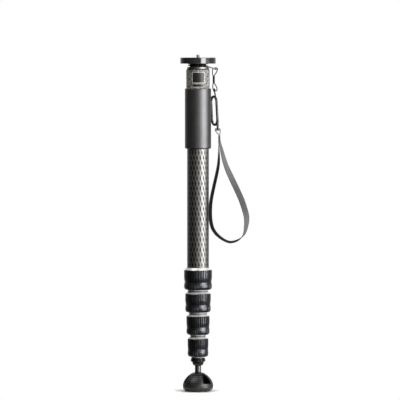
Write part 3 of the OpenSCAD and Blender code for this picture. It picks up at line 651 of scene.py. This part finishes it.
def turned_metal(name, colour, rough, metal):
    """Turned metal with fine tool lines and a few smears."""
    f = Finish(name)
    tool = tool_lines(f, 5000)
    smear = f.noise(90, detail=4.0, rough=0.6)
    dark = tuple(c * 0.72 for c in colour)
    f.set(Base_Color=f.ramp(f.weigh(tool, 0.6, smear, 0.4), (0.3, dark), (0.65, colour)),
          Metallic=metal, Roughness=f.span(smear, rough * 0.85, rough * 1.2, 0.3, 0.7),
          Normal=f.bump(tool, strength=0.12, depth=0.04))
    return f.material


def anodised(name, tone, rough):
    """Black anodised metal with fine tool lines under its thin coat."""
    f = Finish(name)
    rings = tool_lines(f, 2600)
    wear = f.noise(70, detail=5.0, rough=0.65)
    fresh, worn = (tone, tone, tone * 1.04), (tone * 1.7, tone * 1.7, tone * 1.7)
    f.set(Base_Color=f.ramp(wear, (0.3, fresh), (0.8, worn)),
          Metallic=0.75, Roughness=f.span(wear, rough * 0.85, rough * 1.3, 0.3, 0.7),
          Specular_IOR_Level=0.5, Coat_Weight=0.25, Coat_Roughness=0.12,
          Normal=f.bump(rings, strength=0.04, depth=0.04))
    return f.material


def steel(name, colour, rough):
    """Steel with fine scratches."""
    f = Finish(name)
    scratch = f.stretched(900, 900, 2400)
    dark = tuple(c * 0.75 for c in colour)
    f.set(Base_Color=f.ramp(scratch, (0.3, dark), (0.7, colour)),
          Metallic=1.0, Roughness=f.span(scratch, rough * 0.7, rough * 1.5, 0.3, 0.7),
          Normal=f.bump(scratch, strength=0.05, depth=0.05))
    return f.material


def sleeved_wire():
    """Dark steel wire whose ring, on the half away from the strap, is painted as a dull black sleeve: painted
    shade, standing in for the dark reflection there.
    """
    painted_shade_end, wire_start = 0.8, 1.2
    f = Finish("bail_wire")
    x, y, z = f.axes()
    # Painted shade: below this mask the wire is painted dull black instead of showing its own reflection.
    unpainted_wire = f.span(x, 0, 1, painted_shade_end * MM, wire_start * MM)
    scratch = f.stretched(900, 2400, 2400)
    metal = f.ramp(scratch, (0.3, (0.09, 0.09, 0.092)), (0.7, (0.13, 0.13, 0.133)))
    f.set(Base_Color=f.mix(unpainted_wire, (0.006, 0.006, 0.006), metal), Metallic=f.span(unpainted_wire, 0.0, 1.0),
          Roughness=f.math("ADD", f.span(unpainted_wire, 0.45, 0.22), f.span(scratch, -0.04, 0.06)),
          Normal=f.bump(scratch, strength=0.05, depth=0.05))
    return f.material


def plastic():
    """Pale slippery plastic of the guides, collets and cup."""
    f = Finish("acetal")
    flow = f.noise(120, detail=4.0)
    f.set(Base_Color=f.ramp(flow, (0.3, (0.66, 0.66, 0.63)), (0.7, (0.78, 0.78, 0.76))),
          Roughness=f.span(flow, 0.38, 0.55),
          Normal=f.bump(flow, strength=0.08, depth=0.2))
    return f.material


def gloss_black():
    """Black enamel of the hook, worn a little paler in spots."""
    f = Finish("hook_enamel")
    chip = f.noise(420, detail=5.0, rough=0.7)
    f.set(Base_Color=f.ramp(chip, (0.62, (0.075, 0.075, 0.08)), (0.80, (0.14, 0.14, 0.14))),
          Metallic=0.9, Roughness=f.span(chip, 0.2, 0.34, 0.3, 0.75), Specular_IOR_Level=0.5,
          Normal=f.bump(chip, strength=0.06, depth=0.1))
    return f.material


def braid():
    """Black braided cord. Its colour follows the strands of its shape, painted darker in the grooves between
    them as painted shade.
    """
    f = Finish("braided_cord")
    u, v = f.texture()
    turn = f.math("MULTIPLY", u, CORD_STRANDS * TURN)
    wind = f.math("MULTIPLY", v, CORD_WIND)
    strand = f.math("MULTIPLY", f.math("COSINE", f.math("ADD", turn, wind)),
                    f.math("COSINE", f.math("SUBTRACT", turn, wind)))
    fuzz = f.noise(4000, detail=3.0)
    # Painted shade: the low grooves between the strands are painted darker than their crowns.
    low, crown = (0.003, 0.003, 0.0035), (0.013, 0.013, 0.014)
    f.set(Base_Color=f.ramp(f.span(strand, 0, 1, -1, 1), (0.2, low), (0.8, crown)),
          Roughness=f.span(fuzz, 0.6, 0.85), Specular_IOR_Level=0.25,
          Normal=f.bump(f.math("ADD", strand, fuzz), strength=0.4, depth=0.1))
    return f.material


def woven():
    """Flat webbing of ribs and chevron strands, pale on its outer side and edges, and painted black and dull
    on its inner side as painted shade.
    """
    chevrons, slant, pitch, ribs = 22.0, 0.55, 1.1, 22
    inner_side, inner_from, inner_to = 0.75, 0.19, 0.23
    f = Finish("webbing")
    u, v = f.texture()
    side = f.math("PINGPONG", f.math("MULTIPLY", u, chevrons), 1.0)
    weft = f.math("MULTIPLY", f.math("ADD", v, f.math("MULTIPLY", side, slant)), TURN / pitch)
    warp = f.math("MULTIPLY", u, ribs * TURN)
    weave = f.weigh(f.math("SINE", weft), 0.6, f.math("SINE", warp), 0.4)
    fade = f.noise(55, detail=4.0)
    lint = f.noise(2500, detail=3.0)
    tone = f.math("ADD", f.span(weave, 0.25, 0.75, -1, 1), f.span(fade, -0.15, 0.15))
    outer = f.ramp(tone, (0.2, (0.086, 0.086, 0.091)), (0.8, (0.18, 0.18, 0.188)))
    # Painted shade: the inner side of the webbing is painted near black and less shiny.
    inner_painted_shade = f.ramp(tone, (0.2, (0.002, 0.002, 0.0025)), (0.8, (0.006, 0.006, 0.007)))
    away = f.math("ABSOLUTE", f.math("SUBTRACT", u, inner_side))
    inner_shade_mask = f.span(away, 1, 0, inner_from, inner_to)
    f.set(Base_Color=f.mix(inner_shade_mask, outer, inner_painted_shade), Roughness=f.span(lint, 0.62, 0.85),
          Specular_IOR_Level=f.span(inner_shade_mask, 0.3, 0.12),
          Normal=f.bump(f.math("ADD", weave, f.math("MULTIPLY", lint, 0.5)), strength=0.5, depth=0.25))
    return f.material


def thread():
    """Dark sewing thread."""
    f = Finish("sewing_thread")
    ply = f.noise(6000, detail=2.0)
    f.set(Base_Color=f.ramp(ply, (0.3, (0.03, 0.03, 0.032)), (0.7, (0.075, 0.075, 0.08))), Roughness=0.7,
          Normal=f.bump(ply, strength=0.4, depth=0.08))
    return f.material


def badge_finish(name, left, right, base, top, border):
    """Dark brushed plate with a pale border line, both plain."""
    line_edge = 0.1
    f = Finish(name)
    x, y, z = f.axes()
    turn = f.math("ARCTAN2", x, f.math("MULTIPLY", y, -1.0))
    middle, half = math.radians((left + right) / 2), math.radians((right - left) / 2)
    level, half_height = (top + base) / 2 * MM, (top - base) / 2 * MM
    inward = f.math("SUBTRACT", half, f.math("ABSOLUTE", f.math("SUBTRACT", turn, middle)))
    to_side = f.math("MULTIPLY", inward, (CASTING_R + PLATE_T) * MM)
    to_end = f.math("SUBTRACT", half_height, f.math("ABSOLUTE", f.math("SUBTRACT", z, level)))
    edge = f.math("MINIMUM", to_side, to_end)
    rim = f.span(edge, 1, 0, border * MM, (border + line_edge) * MM)
    brush = f.stretched(300, 300, 6000, detail=3.0)
    face = f.ramp(brush, (0.3, (0.030, 0.030, 0.032)), (0.7, (0.06, 0.06, 0.062)))
    pale = f.ramp(brush, (0.3, (0.68, 0.68, 0.67)), (0.7, (0.8, 0.8, 0.79)))
    f.set(Base_Color=f.mix(rim, face, pale), Metallic=f.span(rim, 0.7, 0.0),
          Roughness=f.span(brush, 0.3, 0.45),
          Normal=f.bump(brush, strength=0.08, depth=0.05))
    return f.material


# Pieces that stand for their plain CAD solids, or are added to them

def add_piece(obj, finish, body, node=None):
    """Gives a piece its finish and its body, and hides the CAD solid that it stands for, if one is named."""
    obj.data.materials.append(finish)
    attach(obj, body)
    if node:
        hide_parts(node)


def add_lanyard():
    """Two cord eyes with a wound sleeve between them."""
    eye_top, line_top = braided_cord("lanyard_eye_top", UPPER_EYE)
    eye_low, line_low = braided_cord("lanyard_eye_low", LOWER_EYE)
    sleeve = whipped_sleeve()
    cord = braid()
    add_piece(eye_top, cord, "lanyard", "lanyard_upper")
    add_piece(eye_low, cord, "lanyard", "lanyard_lower")
    add_piece(sleeve, cord, "lanyard", "lanyard_crimp")


def add_strap():
    """The wrist strap, and the seam that closes it."""
    strap, line = webbing()
    seam = stitches()
    add_piece(strap, woven(), "strap", "wrist_strap")
    add_piece(seam, thread(), "strap")


def add_screw():
    finish = steel("screw_steel", (0.5, 0.49, 0.48), rough=0.42)
    add_piece(threaded_stud(), finish, "upper", "camera_stud")


def add_badge():
    """Two bare plates on the front of the casting."""
    plates = (("badge_plate", "badge_finish", BADGE), ("badge_strip", "strip_finish", STRIP))
    for name, finish, plan in plates:
        add_piece(curved_plate(name, *plan), badge_finish(finish, *plan), "upper")


# Finishes of the CAD solids

def dress(material, *names):
    for name in names:
        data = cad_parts[name].data
        data.materials.clear()
        data.materials.append(material)


def each_lock(piece):
    """The names of one piece in all of the locks."""
    return [f"lock_{k}_{piece}" for k in range(1, LOCKS + 1)]


def dress_head():
    dress(anodised("black_anodised", tone=0.085, rough=0.13), "top_plate")
    # Painted shade: the neck is matt black rubber, standing in for the shade under the plate where an
    # anodised neck would show a highlight.
    dress(rubber("neck_shade_black", tone=0.006, rough=0.6, shine=0.2), "neck")
    dress(turned_metal("washer_alloy", (0.32, 0.316, 0.312), rough=0.4, metal=0.8), "neck_washer")
    dress(rubber("gasket_rubber", tone=0.003, rough=0.6, shine=0.2), "head_gasket")
    dress(hammertone(), "head_casting")
    dress(foam(), "hand_grip")


def dress_tubes():
    for k in range(1, SECTIONS + 1):
        girth = TURN * extent(f"tube_{k}")[1].x
        dress(carbon_weave(f"carbon_weave_{k}", round(girth / WEAVE_PITCH)), f"tube_{k}")
    guides = [f"tube_{k}_guides" for k in range(2, SECTIONS + 1)]
    dress(plastic(), *guides, *each_lock("collet"), "foot_cup")


def dress_locks():
    alloy = (0.97, 0.965, 0.96)
    dress(turned_metal("turned_alloy", alloy, rough=0.36, metal=0.6), *each_lock("ferrule"))
    dress(turned_metal("nose_alloy", alloy, rough=0.62, metal=0.1), *each_lock("collar"))
    for k in range(1, LOCKS + 1):
        radius = extent(f"lock_{k}_collar")[1].x + GRIP_T
        waist = extent(f"lock_{k}_grip")[0].z + GRIP_WAIST
        dress(fluted_rubber(f"grip_rubber_{k}", radius, waist), f"lock_{k}_grip")
    dress(rubber("seal_rubber", tone=0.002, rough=0.3, shine=0.55), *each_lock("seal"))


def dress_foot():
    dress(foot_rubber(), "foot_pad")
    dress(anodised("socket_black", tone=0.03, rough=0.25), "end_socket")
    dress(steel("stem_steel", (0.2, 0.198, 0.196), rough=0.3), "ball_stud")


def dress_fittings():
    dress(steel("polished_steel", (0.62, 0.61, 0.60), rough=0.16), "head_bolt", "gate_pin")
    dress(sleeved_wire(), "strap_bail")
    dress(gloss_black(), "hook_body", "hook_gate", "swivel_eye")


# Studio

def add_studio():
    """Surroundings that are pale behind the object and dark in front, and plain white to the camera."""
    world = bpy.data.worlds.new("studio")
    bpy.context.scene.world = world
    w = Nodes(world)
    x, y, z = w.axes(w.node("TexCoord").outputs["Generated"])
    angle = w.math("ARCTAN2", x, w.math("MULTIPLY", y, -1.0))
    turn = w.math("ADD", w.math("MULTIPLY", angle, 1 / TURN), 0.5)
    walls = w.ramp(turn, *[(degrees / 360 + 0.5, tone) for degrees, tone in STUDIO])
    over = w.mix(w.span(z, 0.0, 1.0, SKY_FROM, SKY_TO), walls, SKY_TONE)
    seen = w.mix(w.node("LightPath").outputs["Is Camera Ray"], over, (1.0, 1.0, 1.0))
    back = w.node("Background", Color=seen)
    w.put(back.outputs[0], w.node("OutputWorld").inputs["Surface"])


def soft_box(name, azimuth, distance, height, wide, tall, power, aim=None, colour=(1, 1, 1)):
    """A lamp at an angle from the camera's side. It faces the axis at its own height, or at aim."""
    data = bpy.data.lights.new(name, "AREA")
    data.shape = "RECTANGLE"
    data.size = wide
    data.size_y = tall
    data.energy = power
    data.color = colour
    lamp = bpy.data.objects.new(name, data)
    bpy.context.scene.collection.objects.link(lamp)
    a = math.radians(azimuth)
    lamp.location = (distance * math.sin(a), -distance * math.cos(a), height)
    lamp.rotation_euler = facing(lamp.location, Vector((0, 0, height if aim is None else aim)))


def add_lamps():
    """Soft boxes on the right and in front, a warm one high on the left and one high behind."""
    soft_box("plate_box", azimuth=35, distance=2.0, height=0.62, wide=1.05, tall=0.28, power=7.5)
    soft_box("tube_box", azimuth=2, distance=2.0, height=0.13, wide=1.0, tall=0.18, power=2.2)
    soft_box("low_box", azimuth=59, distance=2.0, height=0.22, wide=1.45, tall=0.48, power=25)
    soft_box("high_box", azimuth=56, distance=2.0, height=1.25, wide=1.25, tall=0.9, power=42)
    soft_box("fill_box", azimuth=-62, distance=1.0, height=1.9, wide=1.2, tall=1.2, power=18, aim=0.45,
             colour=(1.0, 0.92, 0.84))
    soft_box("top_box", azimuth=150, distance=0.6, height=2.0, wide=1.5, tall=1.1, power=16, aim=0.2)


def add_floor():
    """A small pale disc that keeps the shadow at the foot and fades to white round it. Its glow fades out
    towards the foot, so there the disc is darker than the white round it: the real shadow with painted shade
    added round the foot.
    """
    verts = [Vector((FLOOR_R * math.cos(a), FLOOR_R * math.sin(a), FLOOR_Z)) for a in angles(FLOOR_SIDES)]
    floor = mesh_object("floor", verts, [tuple(range(FLOOR_SIDES))], smooth=False)
    f = Finish("floor_white")
    f.set(Base_Color=(0.75, 0.75, 0.75), Roughness=0.9, Specular_IOR_Level=0.0)
    seen = f.node("LightPath").outputs["Is Camera Ray"]
    away, z = f.radius()
    # Painted shade: the glow is nil near the foot and full far from it, so the floor darkens towards the foot
    # beyond what its real shadow does.
    fade = f.span(away, 0.0, 1.0, FADE_FROM * MM, FADE_TO * MM)
    glow = f.node("Emission", Color=(1.0, 1.0, 1.0), Strength=f.math("MULTIPLY", seen, fade))
    both = f.node("AddShader")
    f.put(f.shader.outputs[0], both.inputs[0])
    f.put(glow.outputs[0], both.inputs[1])
    f.put(both.outputs[0], f.out.inputs["Surface"])
    floor.data.materials.append(f.material)
    floor.visible_diffuse = False


add_camera()
add_lanyard()
add_strap()
add_screw()
add_badge()
dress_head()
dress_tubes()
dress_locks()
dress_foot()
dress_fittings()
add_studio()
add_lamps()
add_floor()
bpy.context.scene.view_settings.view_transform = "Standard"
